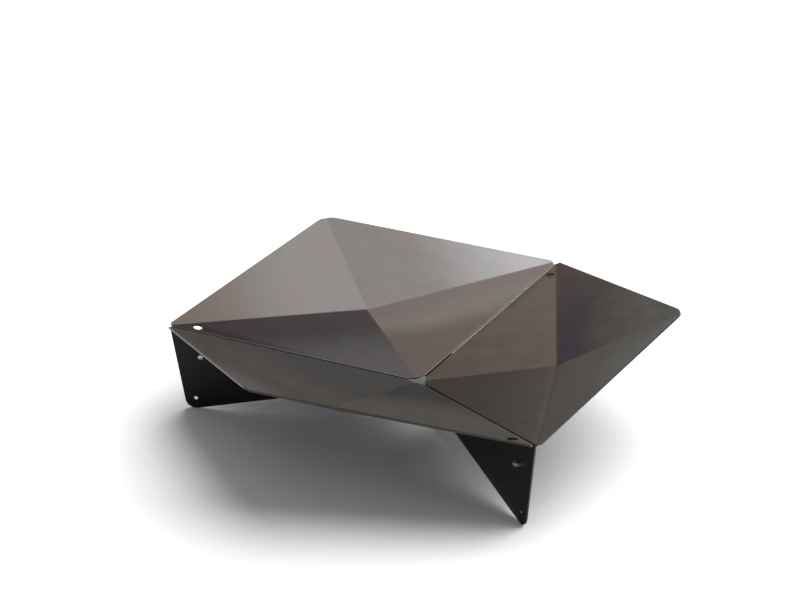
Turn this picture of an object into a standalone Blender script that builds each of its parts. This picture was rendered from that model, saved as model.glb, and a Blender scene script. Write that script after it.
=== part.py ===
"""Fire bowl: three folded sheet panels, bolted by their seam flanges to three flat legs that stand on edge.

Lengths are metres. +Z is up, z = 0 is the ground, and the Z axis is the bowl's axis. Rises and drops are
measured from the centre point, where the upper faces of the three panels would meet.
"""
import math

import bmesh
import bpy
from mathutils import Matrix, Vector

MM = 0.001
DEGREE = math.pi / 180
UP = Vector((0, 0, 1))
MERGE = 0.02 * MM

# Layout round the axis
SECTORS = 3
FIRST_LEG_AZIMUTH = 180 * DEGREE
SECTOR = 2 * math.pi / SECTORS

# Fit between pieces
FIT = 0.3 * MM
THREAD_CLEARANCE = 0.1 * MM

# Panel: corners and folds of its upper face
SHEET = 3 * MM
LOW_CORNER_RADIUS = 454.5 * MM
LOW_CORNER_RISE = 86 * MM
HIGH_CORNER_RADIUS = 457.9 * MM
HIGH_CORNER_RISE = 160 * MM
FOLD_POINT_RADIUS = 243.8 * MM
FOLD_POINT_RISE = 44 * MM
HIGH_CORNER_ROUNDING = 40 * MM
LOW_CORNER_ROUNDING = 7.5 * MM
DRAIN_GAP = 12 * MM

# Panel: seam flanges, folded over a V-groove, so that their corners are crisp
FLANGE_EDGE_MARGIN = 5.5 * MM
FLANGE_PAST_BOLT = 10 * MM
FLANGE_TIP_STRAIGHT = 1 * MM
FLANGE_TIP_SETBACK = 25 * MM

# Panel: round hole beside its first seam
VENT_RADIUS = 8.5 * MM
VENT_ALONG = 53 * MM
VENT_ASIDE = 17 * MM

# Leg plate
LEG_SHEET = 3 * MM
LEG_BELOW_PANEL = 1.2 * MM
LEG_TIP_SETBACK = 5.5 * MM
LEG_LEAN = 8.8 * DEGREE
LEG_UNDERSIDE_SLOPE = 10.4 * DEGREE
FOOT_DROP = 78.6 * MM
LEG_END_ROUNDING = 20 * MM
LEG_TIP_ROUNDING = 2 * MM
SPARE_HOLE_INSET = 45 * MM
BOLT_SPACING = 121 * MM

# Fasteners: M6 button head bolts and hexagon nuts
BOLT_RADIUS = 3 * MM
BOLT_HOLE_CLEARANCE = 0.5 * MM
BOLT_LENGTH = 16 * MM
UPPER_BOLT_LENGTH = 12 * MM
BOLT_END_CHAMFER = 0.6 * MM
HEAD_RADIUS = 5.25 * MM
HEAD_HEIGHT = 3.3 * MM
HEAD_FLAT_RADIUS = 2.9 * MM
HEAD_SHOULDER_RADIUS = 4.3 * MM
HEAD_SHOULDER_DROP = 0.8 * MM
HEAD_RIM_HEIGHT = 0.8 * MM
SOCKET_ACROSS_FLATS = 4 * MM
SOCKET_DEPTH = 2 * MM
NUT_ACROSS_FLATS = 10 * MM
NUT_HEIGHT = 5 * MM
NUT_CHAMFER = 0.6 * MM

# Smoothness of round stretches
CORNER_STEPS = 6
LEG_STEPS = 8
HOLE_SIDES = 32
TURNED_SIDES = 24

# Colour, roughness and metallic value
STEEL_FINISH = ((0.19, 0.175, 0.165, 1), 0.55, 0.9)
LEG_FINISH = ((0.012, 0.013, 0.014, 1), 0.45, 0.2)
ZINC_FINISH = ((0.62, 0.62, 0.60, 1), 0.35, 1.0)


# Places that several pieces share

SEAM_SLOPE = math.atan2(LOW_CORNER_RISE, LOW_CORNER_RADIUS)
SEAM_LENGTH = math.hypot(LOW_CORNER_RADIUS, LOW_CORNER_RISE)
FLANGE_FACE = LEG_SHEET / 2 + FIT
FLANGE_BACK = FLANGE_FACE + SHEET
BOLT_HOLE_RADIUS = BOLT_RADIUS + BOLT_HOLE_CLEARANCE
FLANGE_DEPTH = LEG_BELOW_PANEL + LEG_END_ROUNDING + BOLT_HOLE_RADIUS + FLANGE_EDGE_MARGIN


def line_crossing(point, angle, other_point, other_angle):
    """The crossing of two lines, each given by a point and an angle."""
    run = Vector((math.cos(angle), math.sin(angle)))
    other_run = Vector((math.cos(other_angle), math.sin(other_angle)))
    offset = other_point - point
    along = (offset.x * other_run.y - offset.y * other_run.x) / (run.x * other_run.y - run.y * other_run.x)
    return point + along * run


def leg_corners():
    """The leg's sharp corners as (radius, rise): its top tip, its foot and its inner end."""
    top_edge_drop = LEG_BELOW_PANEL / math.cos(SEAM_SLOPE)
    tip_radius = LOW_CORNER_RADIUS - LEG_TIP_SETBACK
    tip = Vector((tip_radius, tip_radius * math.tan(SEAM_SLOPE) - top_edge_drop))
    foot = Vector((tip.x - (tip.y + FOOT_DROP) * math.tan(LEG_LEAN), -FOOT_DROP))
    inner = line_crossing(tip, SEAM_SLOPE, foot, math.pi - LEG_UNDERSIDE_SLOPE)
    return tip, foot, inner


def inset_corner(before, corner, after, inset):
    """The point inside a corner that lies the inset away from both of its edges."""
    back = (before - corner).normalized()
    ahead = (after - corner).normalized()
    half_angle = back.angle(ahead) / 2
    return corner + (back + ahead).normalized() * inset / math.sin(half_angle)


LEG_TIP, FOOT, LEG_INNER = leg_corners()
FOOT_HOLE = inset_corner(LEG_TIP, FOOT, LEG_INNER, LEG_END_ROUNDING)
INNER_BOLT = inset_corner(FOOT, LEG_INNER, LEG_TIP, LEG_END_ROUNDING)
SPARE_BOLT = inset_corner(LEG_INNER, LEG_TIP, FOOT, SPARE_HOLE_INSET)
OUTER_BOLT = INNER_BOLT + BOLT_SPACING * Vector((1, math.tan(SEAM_SLOPE)))
CENTRE_HEIGHT = LEG_END_ROUNDING * math.cos(LEG_UNDERSIDE_SLOPE) - FOOT_HOLE.y


# Helpers

def clear_scene():
    for item in list(bpy.data.objects):
        bpy.data.objects.remove(item, do_unlink=True)


def make_material(name, finish):
    colour, roughness, metallic = finish
    material = bpy.data.materials.new(name)
    material.use_nodes = True
    shader = material.node_tree.nodes["Principled BSDF"]
    shader.inputs["Base Color"].default_value = colour
    shader.inputs["Roughness"].default_value = roughness
    shader.inputs["Metallic"].default_value = metallic
    material.diffuse_color = colour
    return material


def finish_mesh(name, bm, material=None):
    mesh = bpy.data.meshes.new(name)
    bm.to_mesh(mesh)
    bm.free()
    if material:
        mesh.materials.append(material)
    return mesh


def place(name, mesh, parent=None, location=(0, 0, 0), azimuth=0.0):
    item = bpy.data.objects.new(name, mesh)
    bpy.context.collection.objects.link(item)
    item.parent = parent
    item.location = location
    item.rotation_euler = (0, 0, azimuth)
    return item


def make_cutter(name, bm, parent):
    cutter = place(name, finish_mesh(name, bm), parent)
    cutter.hide_render = True
    cutter.display_type = "WIRE"
    return cutter


def cut(item, cutter, operation="DIFFERENCE"):
    modifier = item.modifiers.new(cutter.name, "BOOLEAN")
    modifier.operation = operation
    modifier.solver = "EXACT"
    modifier.object = cutter


def add_prism(bm, centre, axis, radius, length, sides):
    """A prism or cylinder whose middle is at the centre."""
    turn = UP.rotation_difference(axis).to_matrix().to_4x4()
    bmesh.ops.create_cone(
        bm,
        cap_ends=True,
        segments=sides,
        radius1=radius,
        radius2=radius,
        depth=length,
        matrix=Matrix.Translation(centre) @ turn,
    )


def add_turned(bm, profile, axis):
    """A solid turned round the axis from a profile of (radius, along) points that starts and ends on it."""
    turn = UP.rotation_difference(axis).to_matrix()
    verts = [bm.verts.new(turn @ Vector((radius, 0, along))) for radius, along in profile]
    edges = [bm.edges.new(pair) for pair in zip(verts, verts[1:])]
    bmesh.ops.spin(bm, geom=verts + edges, cent=(0, 0, 0), axis=axis, angle=2 * math.pi, steps=TURNED_SIDES)
    bmesh.ops.remove_doubles(bm, verts=bm.verts, dist=MERGE)
    bmesh.ops.recalc_face_normals(bm, faces=bm.faces)


def smooth_round_faces(mesh):
    mesh.shade_smooth()
    mesh.set_sharp_from_angle(angle=30 * DEGREE)


def turn_between(start, end, steps):
    """Evenly spaced angles from the start to the end, both included."""
    return [start + (end - start) * step / steps for step in range(steps + 1)]


# Panel, modelled with its high corner over +X and its two seams at half a sector to each side

class Seam:
    """The seam at half a sector from +X: along it, aside into the panel, and above it, square to both."""

    def __init__(self, side):
        bearing = side * SECTOR / 2
        self.along = Vector((
            math.cos(SEAM_SLOPE) * math.cos(bearing),
            math.cos(SEAM_SLOPE) * math.sin(bearing),
            math.sin(SEAM_SLOPE),
        ))
        self.aside = Vector((math.sin(bearing), -math.cos(bearing), 0)) * side
        self.above = self.along.cross(self.aside) * -side

    def point(self, along, aside, above):
        return self.along * along + self.aside * aside + self.above * above

    def leg_point(self, spot, aside):
        """A point of the leg plate, given as (radius, rise), moved aside into the panel."""
        along = spot.x * math.cos(SEAM_SLOPE) + spot.y * math.sin(SEAM_SLOPE)
        above = spot.y * math.cos(SEAM_SLOPE) - spot.x * math.sin(SEAM_SLOPE)
        return self.point(along, aside, above)


LOW_CORNER = Seam(1).point(SEAM_LENGTH, 0, 0)
HIGH_CORNER = Vector((HIGH_CORNER_RADIUS, 0, HIGH_CORNER_RISE))
FOLD_POINT = Vector((FOLD_POINT_RADIUS, 0, FOLD_POINT_RISE))


def in_plane(start, towards, beside):
    """Two square directions at the start: one towards a point, and one on the side of another point."""
    ahead = (towards - start).normalized()
    side = beside - start
    side = (side - ahead * side.dot(ahead)).normalized()
    return ahead, side


def low_corner_round():
    """Where the rounding at the low corner has its middle, in the sheet laid flat with the seam along x."""
    fold = (FOLD_POINT - LOW_CORNER).angle(-LOW_CORNER)
    rim = fold + (FOLD_POINT - LOW_CORNER).angle(HIGH_CORNER - LOW_CORNER)
    middle_y = FLANGE_FACE + LOW_CORNER_ROUNDING
    middle_x = (LOW_CORNER_ROUNDING + middle_y * math.cos(rim)) / math.sin(rim)
    return Vector((middle_x, middle_y)), fold, rim


def low_corner_points():
    """The rounding at the low corner, from the seam bend to the fold and from the fold to the rim."""
    middle, fold, rim = low_corner_round()
    along_fold = Vector((math.cos(fold), math.sin(fold)))
    reach = middle.dot(along_fold)
    crossing = along_fold * (reach - math.sqrt(reach ** 2 - middle.length_squared + LOW_CORNER_ROUNDING ** 2))
    at_bend = -math.pi / 2
    at_fold = math.atan2(crossing.y - middle.y, crossing.x - middle.x)
    if at_fold > 0:
        at_fold -= 2 * math.pi
    at_rim = rim + math.pi / 2 - 2 * math.pi
    seam_ahead, seam_side = in_plane(LOW_CORNER, Vector(), FOLD_POINT)
    fold_ahead, fold_side = in_plane(LOW_CORNER, FOLD_POINT, HIGH_CORNER)
    inner = []
    for angle in turn_between(at_bend, at_fold, CORNER_STEPS // 2):
        flat = middle + LOW_CORNER_ROUNDING * Vector((math.cos(angle), math.sin(angle)))
        inner.append(LOW_CORNER + seam_ahead * flat.x + seam_side * flat.y)
    outer = []
    for angle in turn_between(at_fold, at_rim, CORNER_STEPS):
        flat = middle + LOW_CORNER_ROUNDING * Vector((math.cos(angle), math.sin(angle)))
        flat = Matrix.Rotation(-fold, 2) @ flat
        outer.append(LOW_CORNER + fold_ahead * flat.x + fold_side * flat.y)
    return inner, outer


def high_corner_points():
    """Half of the high corner's rounding, from the rim to the fold."""
    ahead, side = in_plane(HIGH_CORNER, FOLD_POINT, LOW_CORNER)
    half_angle = (FOLD_POINT - HIGH_CORNER).angle(LOW_CORNER - HIGH_CORNER)
    middle = HIGH_CORNER + ahead * HIGH_CORNER_ROUNDING / math.sin(half_angle)
    points = []
    for angle in turn_between(math.pi / 2 - half_angle, 0, CORNER_STEPS):
        points.append(middle + HIGH_CORNER_ROUNDING * (side * math.sin(angle) - ahead * math.cos(angle)))
    return points


def bend_above():
    """How far the seam bend's crisp corner lies above the seam."""
    seam = Seam(1)
    return FLANGE_FACE * FOLD_POINT.dot(seam.above) / FOLD_POINT.dot(seam.aside)


def bend_start():
    """How far along the seam the drain gap's straight edge crosses the bend."""
    seam = Seam(1)
    return (DRAIN_GAP - seam.aside.x * FLANGE_FACE - seam.above.x * bend_above()) / seam.along.x


def bend_end():
    """How far along the seam the bend meets the rounding at the low corner."""
    middle, _, _ = low_corner_round()
    return SEAM_LENGTH - middle.x


def flange_outline(seam):
    """The flange below its bend, from the bend's outer end round to its inner end."""
    full_depth = OUTER_BOLT.x + FLANGE_PAST_BOLT
    tip_edge = bend_above() - SHEET - FLANGE_TIP_STRAIGHT
    corners = [
        (bend_end(), tip_edge),
        (SEAM_LENGTH - FLANGE_TIP_SETBACK, tip_edge),
        (full_depth / math.cos(SEAM_SLOPE), -FLANGE_DEPTH),
        (bend_start() + FLANGE_DEPTH + bend_above(), -FLANGE_DEPTH),
    ]
    return [seam.point(along, FLANGE_FACE, above) for along, above in corners]


def half_panel_mesh(material):
    """The upper face of the panel's half on the +Y side, to be mirrored and thickened."""
    bm = bmesh.new()
    seam = Seam(1)
    start = bm.verts.new(seam.point(bend_start(), FLANGE_FACE, bend_above()))
    end = bm.verts.new(seam.point(bend_end(), FLANGE_FACE, bend_above()))
    drain_edge = bm.verts.new(FOLD_POINT * DRAIN_GAP / FOLD_POINT.x)
    fold_point = bm.verts.new(FOLD_POINT)
    inner_round, outer_round = low_corner_points()
    inner_verts = [bm.verts.new(point) for point in inner_round[1:]]
    outer_verts = [bm.verts.new(point) for point in outer_round[1:]]
    high_verts = [bm.verts.new(point) for point in high_corner_points()]
    bm.faces.new([drain_edge, start, end, *inner_verts, fold_point])
    bm.faces.new([fold_point, inner_verts[-1], *outer_verts, *high_verts])
    flange = [bm.verts.new(point) for point in flange_outline(seam)]
    bm.faces.new([end, start, *reversed(flange)])
    bmesh.ops.recalc_face_normals(bm, faces=bm.faces)
    bm.faces.ensure_lookup_table()
    if bm.faces[0].normal.z < 0:
        bmesh.ops.reverse_faces(bm, faces=bm.faces)
    return finish_mesh("bowl_panel", bm, material)


def panel_holes():
    """Cylinders through the round hole by the first seam and through the bolt holes of both flanges."""
    bm = bmesh.new()
    seam = Seam(1)
    ahead, side = in_plane(LOW_CORNER, Vector(), FOLD_POINT)
    vent = LOW_CORNER + ahead * VENT_ALONG + side * VENT_ASIDE
    add_prism(bm, vent, ahead.cross(side), VENT_RADIUS, 4 * SHEET, HOLE_SIDES)
    for seam in (Seam(1), Seam(-1)):
        for spot in (INNER_BOLT, OUTER_BOLT):
            centre = seam.leg_point(spot, FLANGE_FACE + SHEET / 2)
            add_prism(bm, centre, seam.aside, BOLT_HOLE_RADIUS, 2 * SHEET, HOLE_SIDES)
    return bm


def make_panels(centre, material):
    mesh = half_panel_mesh(material)
    for number in range(SECTORS):
        azimuth = FIRST_LEG_AZIMUTH - SECTOR / 2 - number * SECTOR
        name = f"bowl_panel_{number + 1}"
        panel = place(name, mesh, centre, azimuth=azimuth)
        mirror = panel.modifiers.new("other half", "MIRROR")
        mirror.use_axis = (False, True, False)
        mirror.merge_threshold = MERGE
        thicken = panel.modifiers.new("sheet", "SOLIDIFY")
        thicken.solidify_mode = "NON_MANIFOLD"
        thicken.nonmanifold_thickness_mode = "CONSTRAINTS"
        thicken.nonmanifold_boundary_mode = "NONE"
        thicken.nonmanifold_merge_threshold = MERGE
        thicken.thickness = SHEET
        thicken.offset = -1
        cutter = make_cutter(f"{name}_holes", panel_holes(), centre)
        cutter.rotation_euler = (0, 0, azimuth)
        cut(panel, cutter)


# Leg plate, modelled in the XZ plane with its foot towards +X

def rounded_corner(before, corner, after, radius, angles):
    """The points of a corner's rounding at the given angles of its outward radius."""
    middle = inset_corner(before, corner, after, radius)
    return [middle + radius * Vector((math.cos(angle), math.sin(angle))) for angle in angles]


def leg_outline():
    """The outline from the top tip over the inner end and the foot. The foot ends in a short flat."""
    top_edge = SEAM_SLOPE + math.pi / 2
    inner_end = top_edge + math.pi - SEAM_SLOPE - LEG_UNDERSIDE_SLOPE
    foot_flat = 3 * math.pi / 2 + LEG_UNDERSIDE_SLOPE
    outer_edge = 2 * math.pi - LEG_LEAN
    tip = turn_between(-LEG_LEAN, top_edge, LEG_STEPS)
    inner = turn_between(top_edge, inner_end, 2 * LEG_STEPS)
    foot = [inner_end, *turn_between(foot_flat, outer_edge, LEG_STEPS)]
    return [
        *rounded_corner(FOOT, LEG_TIP, LEG_INNER, LEG_TIP_ROUNDING, tip),
        *rounded_corner(LEG_TIP, LEG_INNER, FOOT, LEG_END_ROUNDING, inner),
        *rounded_corner(LEG_INNER, FOOT, LEG_TIP, LEG_END_ROUNDING, foot),
    ]


def leg_mesh(material):
    bm = bmesh.new()
    verts = [bm.verts.new((spot.x, -LEG_SHEET / 2, spot.y)) for spot in leg_outline()]
    face = bm.faces.new(verts)
    thick = bmesh.ops.extrude_face_region(bm, geom=[face])
    moved = [item for item in thick["geom"] if isinstance(item, bmesh.types.BMVert)]
    bmesh.ops.translate(bm, verts=moved, vec=(0, LEG_SHEET, 0))
    bmesh.ops.recalc_face_normals(bm, faces=bm.faces)
    return finish_mesh("leg", bm, material)


def leg_holes():
    bm = bmesh.new()
    for spot in (FOOT_HOLE, SPARE_BOLT, INNER_BOLT, OUTER_BOLT):
        centre = Vector((spot.x, 0, spot.y))
        add_prism(bm, centre, Vector((0, 1, 0)), BOLT_HOLE_RADIUS, 2 * LEG_SHEET, HOLE_SIDES)
    return bm


# Fasteners, modelled with the head's seat at the origin and the head towards +Y

def bolt_mesh(name, length, material):
    bm = bmesh.new()
    profile = [
        (0, HEAD_HEIGHT),
        (HEAD_FLAT_RADIUS, HEAD_HEIGHT),
        (HEAD_SHOULDER_RADIUS, HEAD_HEIGHT - HEAD_SHOULDER_DROP),
        (HEAD_RADIUS, HEAD_RIM_HEIGHT),
        (HEAD_RADIUS, 0),
        (BOLT_RADIUS, 0),
        (BOLT_RADIUS, BOLT_END_CHAMFER - length),
        (BOLT_RADIUS - BOLT_END_CHAMFER, -length),
        (0, -length),
    ]
    add_turned(bm, profile, Vector((0, 1, 0)))
    mesh = finish_mesh(name, bm, material)
    smooth_round_faces(mesh)
    return mesh


def socket_cutter():
    bm = bmesh.new()
    radius = SOCKET_ACROSS_FLATS / 2 / math.cos(math.pi / 6)
    add_prism(bm, Vector((0, HEAD_HEIGHT, 0)), Vector((0, 1, 0)), radius, 2 * SOCKET_DEPTH, 6)
    return bm


def nut_mesh(material):
    """A turned blank with chamfered ends, whose six flats and bore are cut afterwards."""
    bm = bmesh.new()
    corner = NUT_ACROSS_FLATS / 2 / math.cos(math.pi / 6)
    profile = [
        (0, NUT_HEIGHT / 2),
        (corner - NUT_CHAMFER, NUT_HEIGHT / 2),
        (corner + NUT_CHAMFER, NUT_HEIGHT / 2 - NUT_CHAMFER),
        (corner + NUT_CHAMFER, NUT_CHAMFER - NUT_HEIGHT / 2),
        (corner - NUT_CHAMFER, -NUT_HEIGHT / 2),
        (0, -NUT_HEIGHT / 2),
    ]
    add_turned(bm, profile, Vector((0, 1, 0)))
    return finish_mesh("nut", bm, material)


def nut_prism():
    bm = bmesh.new()
    radius = NUT_ACROSS_FLATS / 2 / math.cos(math.pi / 6)
    add_prism(bm, Vector(), Vector((0, 1, 0)), radius, 2 * NUT_HEIGHT, 6)
    return bm


def nut_bore():
    bm = bmesh.new()
    add_prism(bm, Vector(), Vector((0, 1, 0)), BOLT_RADIUS + THREAD_CLEARANCE, 2 * NUT_HEIGHT, TURNED_SIDES)
    return bm


def make_bolt(name, mesh, leg_frame, location):
    bolt = place(name, mesh, leg_frame, location)
    cut(bolt, make_cutter(f"{name}_socket", socket_cutter(), bolt))


def make_nut(name, mesh, leg_frame, location):
    nut = place(name, mesh, leg_frame, location)
    cut(nut, make_cutter(f"{name}_flats", nut_prism(), nut), "INTERSECT")
    cut(nut, make_cutter(f"{name}_bore", nut_bore(), nut))


def make_legs(centre, leg_material, zinc):
    """Each leg with its bolts, whose heads are on its anticlockwise side, and its nuts."""
    plate = leg_mesh(leg_material)
    bolt = bolt_mesh("bolt", BOLT_LENGTH, zinc)
    short_bolt = bolt_mesh("short_bolt", UPPER_BOLT_LENGTH, zinc)
    nut = nut_mesh(zinc)
    clamped = FLANGE_BACK + FIT
    alone = LEG_SHEET / 2 + FIT
    fastenings = {
        "inner": (INNER_BOLT, clamped, bolt),
        "outer": (OUTER_BOLT, clamped, bolt),
        "upper": (SPARE_BOLT, alone, short_bolt),
    }
    for number in range(SECTORS):
        name = f"leg_{number + 1}"
        azimuth = FIRST_LEG_AZIMUTH - number * SECTOR
        frame = place(f"{name}_frame", None, centre, azimuth=azimuth)
        leg = place(name, plate, frame)
        cut(leg, make_cutter(f"{name}_holes", leg_holes(), frame))
        for place_name, (spot, seat, mesh) in fastenings.items():
            make_bolt(f"{name}_{place_name}_bolt", mesh, frame, (spot.x, seat, spot.y))
            make_nut(f"{name}_{place_name}_nut", nut, frame, (spot.x, -seat - NUT_HEIGHT / 2, spot.y))


def main():
    clear_scene()
    centre = place("centre", None, location=(0, 0, CENTRE_HEIGHT))
    make_panels(centre, make_material("bare_steel", STEEL_FINISH))
    make_legs(centre, make_material("black_paint", LEG_FINISH), make_material("zinc", ZINC_FINISH))


main()
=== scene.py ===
"""Looks of a fire bowl: three folded steel panels on three painted leg plates, held by zinc plated screws.

Lengths are metres, +Z is up and z = 0 is the ground. The bowl's axis is the Z axis.
"""

import math

import bmesh
import bpy
from mathutils import Matrix, Vector
from mathutils.bvhtree import BVHTree
from mathutils.geometry import area_tri


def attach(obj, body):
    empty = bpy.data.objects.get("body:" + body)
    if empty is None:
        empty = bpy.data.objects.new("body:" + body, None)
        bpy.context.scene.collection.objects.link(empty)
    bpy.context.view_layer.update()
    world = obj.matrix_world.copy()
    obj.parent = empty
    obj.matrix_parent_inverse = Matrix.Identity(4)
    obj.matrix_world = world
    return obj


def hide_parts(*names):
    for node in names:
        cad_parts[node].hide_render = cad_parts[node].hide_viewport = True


bl_info = {
    "name": "Fire Bowl",
    "version": (1, 0, 0),
    "blender": (4, 5, 0),
    "location": "3D View > Sidebar > Fire Bowl",
    "description": "Builds the visible pieces of a folded steel fire bowl over its CAD frame",
    "category": "Object",
}

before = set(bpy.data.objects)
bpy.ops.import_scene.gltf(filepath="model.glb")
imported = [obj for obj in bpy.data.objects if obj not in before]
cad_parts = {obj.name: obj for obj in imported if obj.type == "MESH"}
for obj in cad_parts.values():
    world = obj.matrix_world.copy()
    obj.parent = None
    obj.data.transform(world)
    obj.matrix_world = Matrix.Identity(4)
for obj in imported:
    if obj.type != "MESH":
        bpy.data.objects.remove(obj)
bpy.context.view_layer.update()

MM = 0.001
MERGE = 0.01 * MM
# Faces that meet at less than FLAT are one flat face, and at more than SHARP they make a sharp edge
FLAT = math.radians(0.4)
SHARP = math.radians(60)

# Azimuths in degrees. A panel lies between two seams, each this far to the side of its own azimuth
PANELS = {"bowl_panel_1": 120, "bowl_panel_2": 0, "bowl_panel_3": -120}
LEGS = {"leg_1": 180, "leg_2": 60, "leg_3": -60}
SEAM_SIDE = 60

# Where the round holes are: distance from the bowl's axis, and from the nearer seam
HOLE_RING = (370 * MM, 415 * MM)
HOLE_ASIDE = (7 * MM, 27 * MM)
# Angles in degrees, between two faces of the sheet, that make an edge a fold or the corner of a seam
FOLD_ANGLES = (6, 40)
SEAM_ANGLES = (60, 120)

# A panel's two low folds meet on its middle line, this far out, and lean back this much for each unit aside
FOLD_LINE = 243.8 * MM
FOLD_LEAN = 0.0414
# The bands of tint and painted shade reach this far to either side of a low fold
BAND_REACH = 250 * MM
# Oxide tints of each panel's two halves, the half on the anticlockwise side first, with painted shade and
# painted highlight in them. A half has its bands by distance in millimetres outwards from its low fold,
# where the dark bands on the inner facet and towards the bowl's middle are painted shade as well as tint;
# the colour that its outer facet takes on towards the low corner, which is painted light, lighter towards
# the corner at azimuth 60 and darker towards the one at 180; and how far the scale is worn off its seam
# corner, which also paints a highlight along that corner
TINT_AND_SHADE_BANDS = {
    "bowl_panel_1": (
        (((-160, "slate"), (-60, "violet"), (-1, "violet"), (2, "steel")), "umber", 0.25),
        (((-110, "umber"), (-60, "olive"), (-25, "mauve"), (-1, "mauve"), (2, "steel")), "pale", 0.3),
    ),
    "bowl_panel_2": (
        (((-90, "bronze"), (2, "bronze"), (6, "lilac"), (40, "lilac"), (85, "sage"), (150, "silver")),
         "fawn", 0.5),
        (((-110, "umber"), (-12, "olive"), (-4, "straw"), (1, "straw"), (5, "sage"), (190, "silver")),
         "sage", 0.1),
    ),
    "bowl_panel_3": (
        (((-150, "slate"), (-75, "olive"), (60, "olive")), "olive", 0.4),
        (((-90, "slate"), (-12, "umber"), (90, "umber"), (180, "steel")), "umber", 0.1),
    ),
}
REDDISH = (1.0, 0.955, 0.945, 1.0)
GREENISH = (0.955, 0.985, 0.965, 1.0)

# The button head: its upright rim, the arc of its dome, how far the dome narrows, and its socket's depth
HEAD_RIM = 0.8 * MM
DOME_ARC = math.radians(62)
DOME_INSET = 2.35 * MM
SOCKET_DEPTH = 2 * MM
# One turn of the thread, as shares of its depth and of its pitch, and its depth as a share of the pitch
THREAD_PROFILE = ((0, 0.0), (1, 0.40), (1, 0.55), (0, 0.95), (0, 1.0))
THREAD_PROFILE_DEPTH = 0.55
THREAD_POINT = 0.62 * MM
NUT_CHAMFER = 0.6 * MM
NUT_GAP = 0.06 * MM

FLOOR_SIZE = 40
# How much brighter the camera sees the floor than the light that it gives back
FLOOR_LIFT = (1.28, 1.28, 1.29, 1.0)
SUN_FROM = (0.388, 0.388, 0.835)
SUN_ENERGY = 3.3
SUN_SPREAD = math.radians(75)
WORLD_STRENGTH = 0.27
CAMERA_PLACE = (0.31518, -2.97324, 1.48955)
CAMERA_RIGHT = (0.99313995, 0.11693099, 0.00042044)
CAMERA_UP = (-0.04570869, 0.38490694, 0.92182285)
CAMERA_BACK = (0.10762783, -0.91551832, 0.38761122)
CAMERA_LENS = 83.44


def srgb(code):
    """A hex colour as linear red, green, blue and alpha."""
    channels = [int(code[i:i + 2], 16) / 255 for i in (1, 3, 5)]
    return (*[c / 12.92 if c <= 0.04045 else ((c + 0.055) / 1.055) ** 2.4 for c in channels], 1.0)


# Properties

COLOUR = {"subtype": "COLOR", "size": 4, "min": 0, "max": 1}


class FireBowlSizes(bpy.types.PropertyGroup):
    sheet: bpy.props.FloatProperty(
        name="Sheet", description="Thickness of the panels' and legs' sheet",
        default=3 * MM, unit="LENGTH")
    fold_setback: bpy.props.FloatProperty(
        name="Fold set-back", description="How far each fold's bend reaches to either side of its line",
        default=2.4 * MM, unit="LENGTH")
    seam_radius: bpy.props.FloatProperty(
        name="Seam corner radius", description="Rounding of the crisp corners where the flanges turn down",
        default=0.9 * MM, unit="LENGTH")
    cut_break: bpy.props.FloatProperty(
        name="Cut edge break", description="Width of the broken corner along the laser cut edges",
        default=0.3 * MM, unit="LENGTH")
    paint_round: bpy.props.FloatProperty(
        name="Painted edge rounding", description="Rounding of the powder coated plates' corners",
        default=0.5 * MM, unit="LENGTH")
    thread_radius: bpy.props.FloatProperty(
        name="Thread radius", description="Outer radius of the screw thread",
        default=3 * MM, unit="LENGTH")
    thread_pitch: bpy.props.FloatProperty(
        name="Thread pitch", description="Advance of the thread in one turn",
        default=1 * MM, unit="LENGTH")
    screw_length: bpy.props.FloatProperty(
        name="Screw length", description="Length of the clamping screws under their heads",
        default=16 * MM, unit="LENGTH")
    upper_screw_length: bpy.props.FloatProperty(
        name="Upper screw length", description="Length of the upper screws, which hold only a nut",
        default=12 * MM, unit="LENGTH")
    head_radius: bpy.props.FloatProperty(
        name="Head radius", description="Radius of the button head",
        default=5.25 * MM, unit="LENGTH")
    head_height: bpy.props.FloatProperty(
        name="Head height", description="Height of the button head",
        default=3.3 * MM, unit="LENGTH")
    socket: bpy.props.FloatProperty(
        name="Socket across flats", description="Width of the hexagon socket",
        default=4 * MM, unit="LENGTH")
    nut_across: bpy.props.FloatProperty(
        name="Nut across flats", description="Width of the hexagon nut",
        default=10 * MM, unit="LENGTH")
    nut_height: bpy.props.FloatProperty(
        name="Nut height", description="Height of the hexagon nut",
        default=5 * MM, unit="LENGTH")


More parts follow.
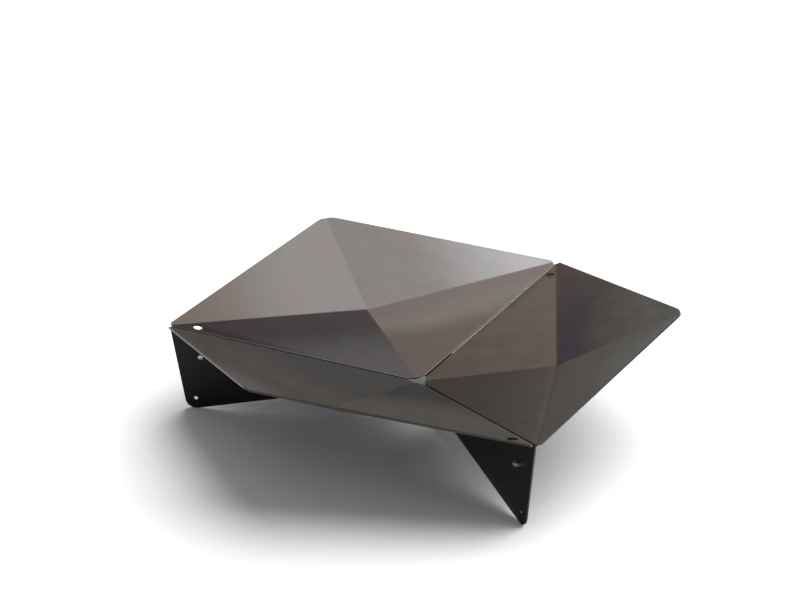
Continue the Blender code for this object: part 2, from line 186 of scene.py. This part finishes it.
class FireBowlColours(bpy.types.PropertyGroup):
    steel: bpy.props.FloatVectorProperty(
        name="Steel", description="Plain grey mill scale", default=srgb("#615d5b"), **COLOUR)
    silver: bpy.props.FloatVectorProperty(
        name="Silver", description="Thin, pale mill scale", default=srgb("#8a8580"), **COLOUR)
    # Also paints the light on bowl_panel_1's outer facet towards the corner at azimuth 60
    pale: bpy.props.FloatVectorProperty(
        name="Pale", description="The thinnest scale, a clear grey", default=srgb("#868485"), **COLOUR)
    sage: bpy.props.FloatVectorProperty(
        name="Sage", description="Greenish oxide tint", default=srgb("#7c776c"), **COLOUR)
    bronze: bpy.props.FloatVectorProperty(
        name="Bronze", description="Brown oxide tint", default=srgb("#655c52"), **COLOUR)
    olive: bpy.props.FloatVectorProperty(
        name="Olive", description="Brownish green oxide tint", default=srgb("#5e5950"), **COLOUR)
    straw: bpy.props.FloatVectorProperty(
        name="Straw", description="Yellowish heat tint on a fold", default=srgb("#6c6355"), **COLOUR)
    # Also paints the light on bowl_panel_2's outer facet towards the corner at azimuth 60
    fawn: bpy.props.FloatVectorProperty(
        name="Fawn", description="Pale brown oxide tint", default=srgb("#80706a"), **COLOUR)
    lilac: bpy.props.FloatVectorProperty(
        name="Lilac", description="Greyish purple oxide tint", default=srgb("#625b62"), **COLOUR)
    mauve: bpy.props.FloatVectorProperty(
        name="Mauve", description="Reddish brown oxide tint", default=srgb("#5b5352"), **COLOUR)
    # Also painted shade, towards the corner at azimuth 180 and on the inner facets
    umber: bpy.props.FloatVectorProperty(
        name="Umber", description="Dark brown oxide tint", default=srgb("#4d443f"), **COLOUR)
    # Painted shade, darkening the inner facets towards the bowl's middle
    slate: bpy.props.FloatVectorProperty(
        name="Slate", description="Thick, dark mill scale", default=srgb("#393736"), **COLOUR)
    # Painted shade on bowl_panel_1's inner facet by the corner at azimuth 180, with a purple tint
    violet: bpy.props.FloatVectorProperty(
        name="Violet", description="Dark purple oxide tint", default=srgb("#241d20"), **COLOUR)
    # Painted highlight along the seam corners, besides steel where the scale has come off
    rubbed_highlight: bpy.props.FloatVectorProperty(
        name="Rubbed steel", description="Steel along the seam corners, where the scale has come off",
        default=srgb("#948f89"), **COLOUR)
    cut_edge: bpy.props.FloatVectorProperty(
        name="Cut edge", description="Bare metal where the laser cut the sheet",
        default=srgb("#716d67"), **COLOUR)
    # Painted shade: the round holes' walls are dark so that the holes look shaded inside
    hole_wall_shade: bpy.props.FloatVectorProperty(
        name="Burnt edge", description="Walls of the round holes, which the laser left sooty",
        default=srgb("#1f1814"), **COLOUR)
    paint: bpy.props.FloatVectorProperty(
        name="Paint", description="Powder coat on the legs", default=srgb("#090a10"), **COLOUR)
    # Painted highlight on the legs' cut edges, besides their thinner coat
    thin_paint_highlight: bpy.props.FloatVectorProperty(
        name="Thin paint", description="Powder coat over the legs' cut edges",
        default=srgb("#3e3e42"), **COLOUR)
    # Painted highlight: bright steel on the rear leg's upward edge, shown as worn bare
    worn_edge_highlight: bpy.props.FloatVectorProperty(
        name="Worn edge", description="Steel where the coat has worn off",
        default=srgb("#a8a29c"), **COLOUR)
    zinc: bpy.props.FloatVectorProperty(
        name="Zinc", description="Plating on the screws and nuts", default=srgb("#c9cac6"), **COLOUR)
    floor: bpy.props.FloatVectorProperty(
        name="Floor", description="The pale floor", default=srgb("#f8f8f9"), **COLOUR)
    world: bpy.props.FloatVectorProperty(
        name="Surroundings", description="The light from all around", default=srgb("#fbfbff"), **COLOUR)


# Helpers

def deselect_all():
    if bpy.context.object and bpy.context.object.mode != "OBJECT":
        bpy.ops.object.mode_set(mode="OBJECT")
    bpy.ops.object.select_all(action="DESELECT")


def make_active(piece):
    deselect_all()
    piece.select_set(True)
    bpy.context.view_layer.objects.active = piece


def edit_edges(piece):
    """Goes into edit mode with edges to be selected."""
    make_active(piece)
    bpy.ops.object.mode_set(mode="EDIT")
    bpy.ops.mesh.select_mode(type="EDGE")


def node_copy(node, name):
    """A copy of a CAD node with its loose triangles joined into whole faces."""
    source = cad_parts[node]
    piece = bpy.data.objects.new(name, source.data.copy())
    bpy.context.scene.collection.objects.link(piece)
    piece.data.name = name
    piece.data.materials.clear()
    make_active(piece)
    bpy.ops.mesh.customdata_custom_splitnormals_clear()
    bpy.ops.object.mode_set(mode="EDIT")
    bpy.ops.mesh.select_all(action="SELECT")
    bpy.ops.mesh.remove_doubles(threshold=MERGE)
    bpy.ops.mesh.dissolve_limited(angle_limit=FLAT)
    bpy.ops.mesh.normals_make_consistent(inside=False)
    bpy.ops.mesh.select_all(action="DESELECT")
    bpy.ops.object.mode_set(mode="OBJECT")
    return piece


def bevel(piece, wanted, width, segments, **settings):
    """Bevels the edges that a test picks. The piece is in edit mode with its edges selectable."""
    bm = bmesh.from_edit_mesh(piece.data)
    for edge in bm.edges:
        edge.select_set(bool(wanted(edge)))
    bm.select_flush_mode()
    bmesh.update_edit_mesh(piece.data)
    bpy.ops.mesh.bevel(offset=width, segments=segments, affect="EDGES", **settings)


def finish_piece(piece, node, materials, smooth_angle):
    """Smooths a piece, gives it its materials and lets it stand for its CAD node. Its flat faces stay flat
    up to their rounded edges."""
    make_active(piece)
    bpy.ops.object.transform_apply(location=True, rotation=True, scale=True)
    bpy.ops.object.shade_smooth_by_angle(angle=math.radians(smooth_angle))
    bpy.ops.object.modifier_add(type="WEIGHTED_NORMAL")
    weighted = piece.modifiers[-1]
    weighted.mode = "FACE_AREA"
    weighted.weight = 100
    weighted.keep_sharp = True
    bpy.ops.object.modifier_apply(modifier=weighted.name)
    for number, material in enumerate(materials):
        if number < len(piece.data.materials):
            piece.data.materials[number] = material
        else:
            piece.data.materials.append(material)
    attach(piece, "root")
    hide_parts(node)


def turned(azimuth):
    return Matrix.Rotation(math.radians(azimuth), 4, "Z")


# Shader nodes. Each helper adds a node and gives its output, and each input is a value or another output

def new_material(name):
    material = bpy.data.materials.new(name)
    material.use_nodes = True
    material.node_tree.nodes.clear()
    return material


def add_node(material, kind, settings=None, inputs=None):
    tree = material.node_tree
    node = tree.nodes.new("ShaderNode" + kind)
    for name, value in (settings or {}).items():
        setattr(node, name, value)
    for name, value in (inputs or {}).items():
        if isinstance(value, bpy.types.NodeSocket):
            tree.links.new(value, node.inputs[name])
        else:
            node.inputs[name].default_value = value
    return node


def coordinates(material):
    return add_node(material, "TexCoord").outputs["Object"]


def mapping(material, vector, name, value):
    return add_node(material, "Mapping", inputs={"Vector": vector, name: value}).outputs["Vector"]


def noise(material, vector, scale, detail, roughness=0.5, distortion=0.0):
    """A pattern from 0 to 1, with bumps about 1 / scale metres across."""
    return add_node(material, "TexNoise", {"noise_dimensions": "3D"}, {
        "Vector": vector, "Scale": scale, "Detail": detail, "Roughness": roughness,
        "Distortion": distortion}).outputs["Fac"]


def calculate(material, operation, *values):
    return add_node(material, "Math", {"operation": operation}, dict(enumerate(values))).outputs[0]


def remap(material, value, source, target=(0.0, 1.0), kind="LINEAR"):
    """A value moved from one range to another, and kept inside it."""
    return add_node(material, "MapRange", {"interpolation_type": kind}, {
        "Value": value, "From Min": source[0], "From Max": source[1],
        "To Min": target[0], "To Max": target[1]}).outputs["Result"]


def ramp(material, value, *stops):
    """A colour for a value, from stops of a position and a colour."""
    node = add_node(material, "ValToRGB", inputs={"Fac": value})
    elements = node.color_ramp.elements
    while len(elements) < len(stops):
        elements.new(0.5)
    for element, (position, colour) in zip(elements, stops):
        element.position = position
        element.color = colour
    return node.outputs["Color"]


def blend(material, share, first, second, kind="MIX"):
    """Two colours blended. The share is the second one's."""
    return add_node(material, "Mix", {"data_type": "RGBA", "blend_type": kind}, {
        0: share, 6: first, 7: second}).outputs[2]


def shaded(material, colour, value, *stops):
    """A colour multiplied by a ramp's."""
    return blend(material, 1.0, colour, ramp(material, value, *stops), "MULTIPLY")


def bump(material, height, depth):
    return add_node(material, "Bump", inputs={
        "Height": height, "Distance": depth, "Strength": 0.5}).outputs["Normal"]


def surface(material, kind, inputs):
    """Ends a material with its shader."""
    shader = add_node(material, kind, inputs=inputs)
    add_node(material, "OutputMaterial", inputs={"Surface": shader.outputs["BSDF"]})
    return material


def grey(value):
    return (value, value, value, 1.0)


# Materials

def mill_steel(colours, name, azimuth, halves):
    """Hot rolled mild steel under thin mill scale: dark, warm and half dull, faintly streaked along the
    rolling direction, mottled where the scale varies, and with its oxide tints in bands along the folds. The
    bands also paint the shade of the inner facets and the light of the outer facets near their low corners,
    and the seam corners carry a painted highlight."""
    material = new_material(name)
    place = coordinates(material)
    local = mapping(material, place, "Rotation", (0, 0, -math.radians(azimuth)))
    axes = add_node(material, "SeparateXYZ", inputs={"Vector": local})
    outwards = axes.outputs["X"]
    sideways = axes.outputs["Y"]
    aside = calculate(material, "ABSOLUTE", sideways)

    # Distance outwards from the two low folds
    fold = calculate(material, "MULTIPLY_ADD", aside, FOLD_LEAN, outwards)
    distance = calculate(material, "SUBTRACT", fold, FOLD_LINE)
    # The bands wander by up to about 15 mm, but keep to the folds themselves
    cloud = noise(material, place, 7.0, 2.0, 0.45)
    centred = calculate(material, "SUBTRACT", cloud, 0.5)
    clear = calculate(material, "ABSOLUTE", distance)
    reach = remap(material, clear, (12 * MM, 80 * MM), (0.0, 75 * MM), "SMOOTHSTEP")
    wandered = calculate(material, "MULTIPLY_ADD", centred, reach, distance)
    spread = remap(material, wandered, (-BAND_REACH, BAND_REACH))
    # Painted light: the outer facets turn lighter towards the corner at azimuth 60 and darker towards the
    # one at 180, as they near their low corners
    outside = remap(material, distance, (-1 * MM, 2 * MM), kind="SMOOTHSTEP")
    cornerward = remap(material, aside, (100 * MM, 360 * MM), (0.0, 0.9), "SMOOTHSTEP")
    corner_light_share = calculate(material, "MULTIPLY", outside, cornerward)
    # Each half's ramp paints shade on its inner facet besides its oxide tints
    bands = []
    for stops, corner_light_tint, _ in halves:
        positions = [0.5 + offset * MM / BAND_REACH / 2 for offset, _ in stops]
        tints = [getattr(colours, tint) for _, tint in stops]
        band = ramp(material, spread, *zip(positions, tints))
        bands.append(blend(material, corner_light_share, band, getattr(colours, corner_light_tint)))
    half = remap(material, sideways, (-3 * MM, 3 * MM), kind="SMOOTHSTEP")
    banded = blend(material, half, bands[1], bands[0])

    # The scale has come off in a line about 2 mm wide along the seam corners, and that bright line is also a
    # painted highlight, strongest on the seam above the rear leg
    side = math.radians(SEAM_SIDE)
    across = calculate(material, "MULTIPLY", outwards, math.sin(side))
    from_seam = calculate(material, "MULTIPLY_ADD", aside, -math.cos(side), across)
    rub = remap(material, half, (0.0, 1.0), (halves[1][2], halves[0][2]))
    bare = remap(material, from_seam, (2.6 * MM, 4.2 * MM), (rub, 0.0), "SMOOTHSTEP")
    worn = blend(material, bare, banded, colours.rubbed_highlight)

    # The tint itself drifts between reddish and greenish over some 100 mm
    drift = noise(material, place, 11.0, 3.0, 0.55, 0.6)
    hued = shaded(material, worn, drift, (0.36, REDDISH), (0.5, grey(0.98)), (0.64, GREENISH))
    # Mottled scale, in patches of about 30 mm
    mottle = noise(material, place, 30.0, 5.0, 0.62)
    mottled = shaded(material, hued, mottle, (0.30, grey(0.92)), (0.70, grey(1.0)))
    # Rolling streaks, really about 0.3 mm apart, drawn about 5 mm apart so that they show
    stretched = mapping(material, local, "Scale", (6.0, 180.0, 60.0))
    streaks = noise(material, stretched, 1.0, 3.0, 0.6)
    colour = shaded(material, mottled, streaks, (0.28, grey(0.95)), (0.72, grey(1.0)))

    relief = calculate(material, "ADD", streaks, mottle)
    return surface(material, "BsdfPrincipled", {
        "Base Color": colour, "Metallic": 1.0,
        "Roughness": remap(material, mottle, (0.3, 0.7), (0.38, 0.46)),
        "Normal": bump(material, relief, 0.04 * MM)})


def laser_cut_edge(name, base):
    """Steel where a laser cut the sheet, with fine upright drag lines."""
    material = new_material(name)
    # Drag lines, really about 0.2 mm apart, drawn about 0.8 mm apart
    stretched = mapping(material, coordinates(material), "Scale", (1200.0, 1200.0, 60.0))
    lines = noise(material, stretched, 1.0, 2.0, 0.6)
    return surface(material, "BsdfPrincipled", {
        "Base Color": shaded(material, base, lines, (0.3, grey(0.72)), (0.7, grey(1.0))),
        "Metallic": 1.0, "Roughness": 0.38,
        "Normal": bump(material, lines, 0.05 * MM)})


def powder_coat(name, base):
    """Black polyester powder coat, sprayed and baked: satin, with a fine orange peel and a little dust. It
    draws back from the cut edges, so they look paler, and that paler colour also paints the highlight on the
    edges."""
    material = new_material(name)
    place = coordinates(material)
    # Orange peel, with bumps about 1.5 mm across
    peel = noise(material, place, 650.0, 2.0)
    dust = noise(material, place, 22.0, 6.0, 0.65)
    return surface(material, "BsdfPrincipled", {
        "Base Color": shaded(material, base, dust, (0.35, grey(0.8)), (0.75, grey(1.25))),
        "Metallic": 0.0, "Specular IOR Level": 0.22,
        "Roughness": remap(material, dust, (0.3, 0.7), (0.36, 0.48)),
        "Normal": bump(material, peel, 0.05 * MM)})


def bright_zinc(colours):
    """Electroplated bright zinc on cold headed steel: pale, clean and slightly uneven in gloss."""
    material = new_material("bright_zinc_plate")
    # Plating grain about 0.6 mm across
    grain = noise(material, coordinates(material), 1600.0, 3.0, 0.6)
    return surface(material, "BsdfPrincipled", {
        "Base Color": shaded(material, colours.zinc, grain, (0.3, grey(0.82)), (0.7, grey(1.0))),
        "Metallic": 1.0,
        "Roughness": remap(material, grain, (0.3, 0.7), (0.24, 0.36))})


def pale_floor(colours):
    """Matt painted studio floor: plain, pale and even. The camera and mirror-like surfaces see it lifted to
    white."""
    material = new_material("matt_studio_floor")
    wash = noise(material, coordinates(material), 1.5, 1.0)
    colour = shaded(material, colours.floor, wash, (0.3, grey(0.985)), (0.7, grey(1.0)))
    path = add_node(material, "LightPath").outputs
    mirrored = calculate(material, "MAXIMUM", path["Is Glossy Ray"], path["Is Transmission Ray"])
    seen = calculate(material, "MAXIMUM", path["Is Camera Ray"], mirrored)
    return surface(material, "BsdfDiffuse", {"Color": blend(material, seen, colour, FLOOR_LIFT, "MULTIPLY")})


# Sheets, which have one material for the sheet's own faces, a second for cut faces and a third for others

def sheet_copy(node, name, sheet):
    """A copy of a sheet's node. A face is a cut one unless the sheet's thickness is behind it."""
    piece = node_copy(node, name)
    for _ in range(3):
        piece.data.materials.append(None)
    bm = bmesh.new()
    bm.from_mesh(piece.data)
    tree = BVHTree.FromBMesh(bm)
    # Each face is tested from the middle of its largest triangle
    largest = {}
    for loops in bm.calc_loop_triangles():
        corners = [loop.vert.co for loop in loops]
        area = area_tri(*corners)
        if area > largest.get(loops[0].face, (0, None))[0]:
            largest[loops[0].face] = (area, sum(corners, Vector()) / 3)
    for face, (_, spot) in largest.items():
        inside = spot - face.normal * sheet * 0.05
        depth = tree.ray_cast(inside, -face.normal, sheet * 1.2)[3]
        face.material_index = 1 if depth is None else 0
    bm.to_mesh(piece.data)
    bm.free()
    return piece


def seam_distance(point, azimuth):
    """How far a point lies from the nearer of a panel's two seams, seen from above."""
    distances = []
    for side in (SEAM_SIDE, -SEAM_SIDE):
        bearing = math.radians(azimuth + side)
        distances.append(abs(point.y * math.cos(bearing) - point.x * math.sin(bearing)))
    return min(distances)


def bends(edge, least, most):
    """True for an edge where the sheet's own faces meet at an angle between two limits, in degrees."""
    if len(edge.link_faces) != 2 or any(face.material_index for face in edge.link_faces):
        return False
    return math.radians(least) < edge.calc_face_angle(0) < math.radians(most)


def is_fold(edge, azimuth, sheet):
    """True for the edges of the bowl's folds, on the upper and on the lower face."""
    far = max(seam_distance(vert.co, azimuth) for vert in edge.verts)
    return bends(edge, *FOLD_ANGLES) and far > 4 * sheet


def is_seam_corner(edge):
    """True for the outer edges where the flanges turn down."""
    return bends(edge, *SEAM_ANGLES) and edge.is_convex


def is_cut_corner(edge):
    """True for the edges between the sheet's own faces and its cut faces."""
    return len({face.material_index for face in edge.link_faces}) == 2


def is_hole_wall(face, azimuth):
    """True for the faces inside the round holes beside the low corners."""
    in_ring = HOLE_RING[0] < face.center.xy.length < HOLE_RING[1]
    return in_ring and HOLE_ASIDE[0] < seam_distance(face.center, azimuth) < HOLE_ASIDE[1]


class FIREBOWL_OT_panels(bpy.types.Operator):
    """Build the three folded steel panels"""
    bl_idname = "firebowl.panels"
    bl_label = "Bowl panels"
    bl_options = {"REGISTER", "UNDO"}

    def execute(self, context):
        sizes = context.scene.fire_bowl_sizes
        colours = context.scene.fire_bowl_colours
        cut = laser_cut_edge("laser_cut_steel", colours.cut_edge)
        # The round holes' walls get a painted shade
        hole_shade = laser_cut_edge("burnt_cut_steel", colours.hole_wall_shade)
        for node, azimuth in PANELS.items():
            piece = sheet_copy(node, f"{node}_sheet", sizes.sheet)
            edit_edges(piece)
            bevel(piece, lambda edge: is_fold(edge, azimuth, sizes.sheet), sizes.fold_setback, segments=4)
            bevel(piece, is_seam_corner, sizes.seam_radius, segments=4)
            bevel(piece, is_cut_corner, sizes.cut_break, segments=2, clamp_overlap=True, material=1)
            bpy.ops.object.mode_set(mode="OBJECT")
            # Faces inside the round holes take the painted shade
            for face in piece.data.polygons:
                if face.material_index == 1 and is_hole_wall(face, azimuth):
                    face.material_index = 2
            steel = mill_steel(colours, f"hot_rolled_steel_{node[-1]}", azimuth, TINT_AND_SHADE_BANDS[node])
            finish_piece(piece, node, (steel, cut, hole_shade), smooth_angle=28)
        return {"FINISHED"}


class FIREBOWL_OT_legs(bpy.types.Operator):
    """Build the three powder coated leg plates"""
    bl_idname = "firebowl.legs"
    bl_label = "Leg plates"
    bl_options = {"REGISTER", "UNDO"}

    def execute(self, context):
        sizes = context.scene.fire_bowl_sizes
        colours = context.scene.fire_bowl_colours
        coat = powder_coat("satin_black_powder_coat", colours.paint)
        # The cut edges' paler coat also paints their highlight
        edge_coat_highlight = powder_coat("thin_powder_coat", colours.thin_paint_highlight)
        # The bare steel material paints the highlight on the rear leg's upward edge
        worn = laser_cut_edge("worn_edge_steel", colours.worn_edge_highlight)
        for node in LEGS:
            piece = sheet_copy(node, f"{node}_plate", sizes.sheet)
            # The edge that faces up into the seam has its full coat, and the rear leg's is worn to the
            # steel, which paints a bright highlight in the seam above it
            for face in piece.data.polygons:
                if face.normal.z > 0.3:
                    face.material_index = 2 if node == "leg_2" else 0
            edit_edges(piece)
            bevel(piece, lambda edge: edge.calc_face_angle(0) > SHARP, sizes.paint_round, segments=3)
            bpy.ops.object.mode_set(mode="OBJECT")
            finish_piece(piece, node, (coat, edge_coat_highlight, worn), smooth_angle=35)
        return {"FINISHED"}


# Screws and nuts, modelled on the Z axis with the head's seat at z = 0 and the head upwards

def boolean(piece, cutter, operation):
    """Cuts or joins with another object, which is then removed."""
    make_active(piece)
    modifier = piece.modifiers.new("cut", "BOOLEAN")
    modifier.operation = operation
    modifier.solver = "EXACT"
    modifier.object = cutter
    bpy.ops.object.modifier_apply(modifier=modifier.name)
    bpy.data.objects.remove(cutter, do_unlink=True)


def model_head(sizes):
    """A button head with a hexagon socket. Its top is extruded and narrowed in steps along an arc."""
    bpy.ops.mesh.primitive_cylinder_add(
        vertices=48, radius=sizes.head_radius, depth=HEAD_RIM, location=(0, 0, HEAD_RIM / 2))
    head = bpy.context.object
    bpy.ops.object.transform_apply(location=True, rotation=True, scale=True)
    bpy.ops.object.mode_set(mode="EDIT")
    bpy.ops.mesh.select_mode(type="FACE")
    bm = bmesh.from_edit_mesh(head.data)
    for face in bm.faces:
        face.select_set(face.normal.z > 0.9)
    bmesh.update_edit_mesh(head.data)
    steps = 6
    radius = sizes.head_radius
    rise = sizes.head_height - HEAD_RIM
    reached = 0.0
    for step in range(1, steps + 1):
        turn = DOME_ARC * step / steps
        new_radius = sizes.head_radius - DOME_INSET * (1 - math.cos(turn)) / (1 - math.cos(DOME_ARC))
        height = rise * math.sin(turn) / math.sin(DOME_ARC)
        bpy.ops.mesh.extrude_region_move(TRANSFORM_OT_translate={"value": (0, 0, height - reached)})
        scale = new_radius / radius
        bpy.ops.transform.resize(value=(scale, scale, 1))
        radius = new_radius
        reached = height
    bpy.ops.mesh.select_all(action="SELECT")
    bpy.ops.mesh.normals_make_consistent(inside=False)
    bpy.ops.object.mode_set(mode="OBJECT")
    bpy.ops.mesh.primitive_cylinder_add(
        vertices=6, radius=sizes.socket / 2 / math.cos(math.pi / 6), depth=2 * SOCKET_DEPTH,
        location=(0, 0, sizes.head_height))
    boolean(head, bpy.context.object, "DIFFERENCE")
    return head


def model_thread(sizes, length):
    """The threaded shank: one turn's profile is screwed down the axis, and both ends are cut flat."""
    outer = sizes.thread_radius
    pitch = sizes.thread_pitch
    root = outer - THREAD_PROFILE_DEPTH * pitch
    bpy.ops.mesh.primitive_plane_add(size=pitch, location=(0, 0, 0))
    thread = bpy.context.object
    bm = bmesh.new()
    verts = [bm.verts.new((outer if high else root, 0, share * pitch)) for high, share in THREAD_PROFILE]
    for pair in zip(verts, verts[1:]):
        bm.edges.new(pair)
    bm.to_mesh(thread.data)
    bm.free()
    screw = thread.modifiers.new("thread", "SCREW")
    screw.angle = 2 * math.pi
    screw.screw_offset = pitch
    screw.iterations = round(length / pitch) + 3
    screw.steps = 20
    screw.render_steps = 20
    screw.use_merge_vertices = True
    screw.merge_threshold = MERGE / 4
    bpy.ops.object.modifier_apply(modifier=screw.name)
    bpy.ops.object.mode_set(mode="EDIT")
    bpy.ops.mesh.select_all(action="SELECT")
    bpy.ops.mesh.remove_doubles(threshold=MERGE / 4)
    bpy.ops.transform.translate(value=(0, 0, -length - pitch * 1.5))
    for height, clear_inner, clear_outer in ((0.0, False, True), (-length, True, False)):
        bpy.ops.mesh.select_all(action="SELECT")
        bpy.ops.mesh.bisect(
            plane_co=(0, 0, height), plane_no=(0, 0, 1), use_fill=True,
            clear_inner=clear_inner, clear_outer=clear_outer)
    bpy.ops.mesh.select_all(action="SELECT")
    bpy.ops.mesh.normals_make_consistent(inside=False)
    bpy.ops.object.mode_set(mode="OBJECT")
    # A cone that widens upwards at 45 degrees chamfers the thread's end
    flare = 20 * MM
    depth = flare + THREAD_POINT
    bpy.ops.mesh.primitive_cone_add(
        vertices=40, radius1=outer - THREAD_POINT, radius2=outer + flare, depth=depth,
        location=(0, 0, depth / 2 - length))
    boolean(thread, bpy.context.object, "INTERSECT")
    return thread


def model_screw(sizes, length):
    head = model_head(sizes)
    thread = model_thread(sizes, length)
    deselect_all()
    thread.select_set(True)
    head.select_set(True)
    bpy.context.view_layer.objects.active = head
    bpy.ops.object.join()
    return head


def model_nut(sizes):
    """A hexagon nut with its corners chamfered at both ends."""
    corner = sizes.nut_across / 2 / math.cos(math.pi / 6)
    bpy.ops.mesh.primitive_cylinder_add(vertices=6, radius=corner, depth=sizes.nut_height)
    nut = bpy.context.object
    bpy.ops.mesh.primitive_cylinder_add(
        vertices=64, radius=corner + NUT_CHAMFER, depth=sizes.nut_height)
    blank = bpy.context.object
    edit_edges(blank)
    bevel(blank, lambda edge: edge.calc_face_angle(0) > SHARP, 1.7 * NUT_CHAMFER, segments=1)
    bpy.ops.object.mode_set(mode="OBJECT")
    boolean(nut, blank, "INTERSECT")
    bpy.ops.mesh.primitive_cylinder_add(
        vertices=40, radius=sizes.thread_radius + NUT_GAP, depth=2 * sizes.nut_height)
    boolean(nut, bpy.context.object, "DIFFERENCE")
    make_active(nut)
    return nut


def local_box(node, azimuth):
    """A node's lowest and highest corners along its leg: outwards, square to the leg, and up."""
    back = turned(-azimuth)
    points = [back @ vert.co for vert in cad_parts[node].data.vertices]
    low = Vector([min(point[axis] for point in points) for axis in range(3)])
    high = Vector([max(point[axis] for point in points) for axis in range(3)])
    return low, high


def place_copy(model, name, matrix):
    """A copy of the model with a mesh of its own, put in place."""
    piece = bpy.data.objects.new(name, model.data.copy())
    piece.data.name = name
    bpy.context.scene.collection.objects.link(piece)
    piece.data.transform(matrix)
    return piece


class FIREBOWL_OT_fasteners(bpy.types.Operator):
    """Build the nine button head screws and their nuts"""
    bl_idname = "firebowl.fasteners"
    bl_label = "Screws and nuts"
    bl_options = {"REGISTER", "UNDO"}

    def execute(self, context):
        sizes = context.scene.fire_bowl_sizes
        material = bright_zinc(context.scene.fire_bowl_colours)
        lengths = {
            "inner": sizes.screw_length,
            "outer": sizes.screw_length,
            "upper": sizes.upper_screw_length,
        }
        screws = {}
        for length in sorted(set(lengths.values())):
            deselect_all()
            screws[length] = model_screw(sizes, length)
        deselect_all()
        nut = model_nut(sizes)
        lie_down = Matrix.Rotation(-math.pi / 2, 4, "X")
        for leg, azimuth in LEGS.items():
            for where, length in lengths.items():
                node = f"{leg}_{where}_bolt"
                low, high = local_box(node, azimuth)
                middle = (low + high) / 2
                seat = Vector((middle.x, low.y + length, middle.z))
                matrix = turned(azimuth) @ Matrix.Translation(seat) @ lie_down
                piece = place_copy(screws[length], f"{leg}_{where}_screw", matrix)
                finish_piece(piece, node, (material,), smooth_angle=35)
                node = f"{leg}_{where}_nut"
                low, high = local_box(node, azimuth)
                matrix = turned(azimuth) @ Matrix.Translation((low + high) / 2) @ lie_down
                piece = place_copy(nut, f"{leg}_{where}_hexagon_nut", matrix)
                finish_piece(piece, node, (material,), smooth_angle=30)
        for model in (*screws.values(), nut):
            bpy.data.objects.remove(model, do_unlink=True)
        return {"FINISHED"}


# Stage

class FIREBOWL_OT_stage(bpy.types.Operator):
    """Build the floor, the light and the camera"""
    bl_idname = "firebowl.stage"
    bl_label = "Stage"
    bl_options = {"REGISTER", "UNDO"}

    def execute(self, context):
        scene = context.scene
        colours = scene.fire_bowl_colours
        deselect_all()
        bpy.ops.mesh.primitive_plane_add(size=FLOOR_SIZE, location=(0, 0, 0))
        floor = context.object
        floor.name = "studio_floor"
        floor.data.materials.append(pale_floor(colours))

        bpy.ops.object.light_add(type="SUN", location=(1.5, 2.0, 4.0))
        sky = context.object
        sky.name = "overhead_softbox"
        sky.data.energy = SUN_ENERGY
        sky.data.angle = SUN_SPREAD
        sky.rotation_euler = Vector(SUN_FROM).to_track_quat("Z", "Y").to_euler()

        world = bpy.data.worlds.new("studio")
        world.use_nodes = True
        background = world.node_tree.nodes["Background"]
        background.inputs["Color"].default_value = colours.world
        background.inputs["Strength"].default_value = WORLD_STRENGTH
        scene.world = world

        bpy.ops.object.camera_add()
        camera = context.object
        camera.name = "camera"
        camera.data.sensor_width = 36
        camera.data.lens = CAMERA_LENS
        camera.data.clip_end = 100
        turn = Matrix((CAMERA_RIGHT, CAMERA_UP, CAMERA_BACK)).transposed().to_4x4()
        camera.matrix_world = Matrix.Translation(CAMERA_PLACE) @ turn
        scene.camera = camera
        scene.view_settings.view_transform = "Standard"
        return {"FINISHED"}


class FIREBOWL_PT_build(bpy.types.Panel):
    bl_idname = "FIREBOWL_PT_build"
    bl_label = "Fire Bowl"
    bl_space_type = "VIEW_3D"
    bl_region_type = "UI"
    bl_category = "Fire Bowl"

    def draw(self, context):
        layout = self.layout
        for operator in OPERATORS:
            layout.operator(operator.bl_idname)
        for group in (context.scene.fire_bowl_sizes, context.scene.fire_bowl_colours):
            box = layout.box()
            for name in group.__annotations__:
                box.prop(group, name)


OPERATORS = (FIREBOWL_OT_panels, FIREBOWL_OT_legs, FIREBOWL_OT_fasteners, FIREBOWL_OT_stage)
CLASSES = (FireBowlSizes, FireBowlColours, *OPERATORS, FIREBOWL_PT_build)


def register():
    for item in CLASSES:
        bpy.utils.register_class(item)
    bpy.types.Scene.fire_bowl_sizes = bpy.props.PointerProperty(type=FireBowlSizes)
    bpy.types.Scene.fire_bowl_colours = bpy.props.PointerProperty(type=FireBowlColours)


def unregister():
    del bpy.types.Scene.fire_bowl_colours
    del bpy.types.Scene.fire_bowl_sizes
    for item in reversed(CLASSES):
        bpy.utils.unregister_class(item)


def main():
    register()
    bpy.ops.firebowl.panels()
    bpy.ops.firebowl.legs()
    bpy.ops.firebowl.fasteners()
    bpy.ops.firebowl.stage()


if __name__ == "__main__":
    main()
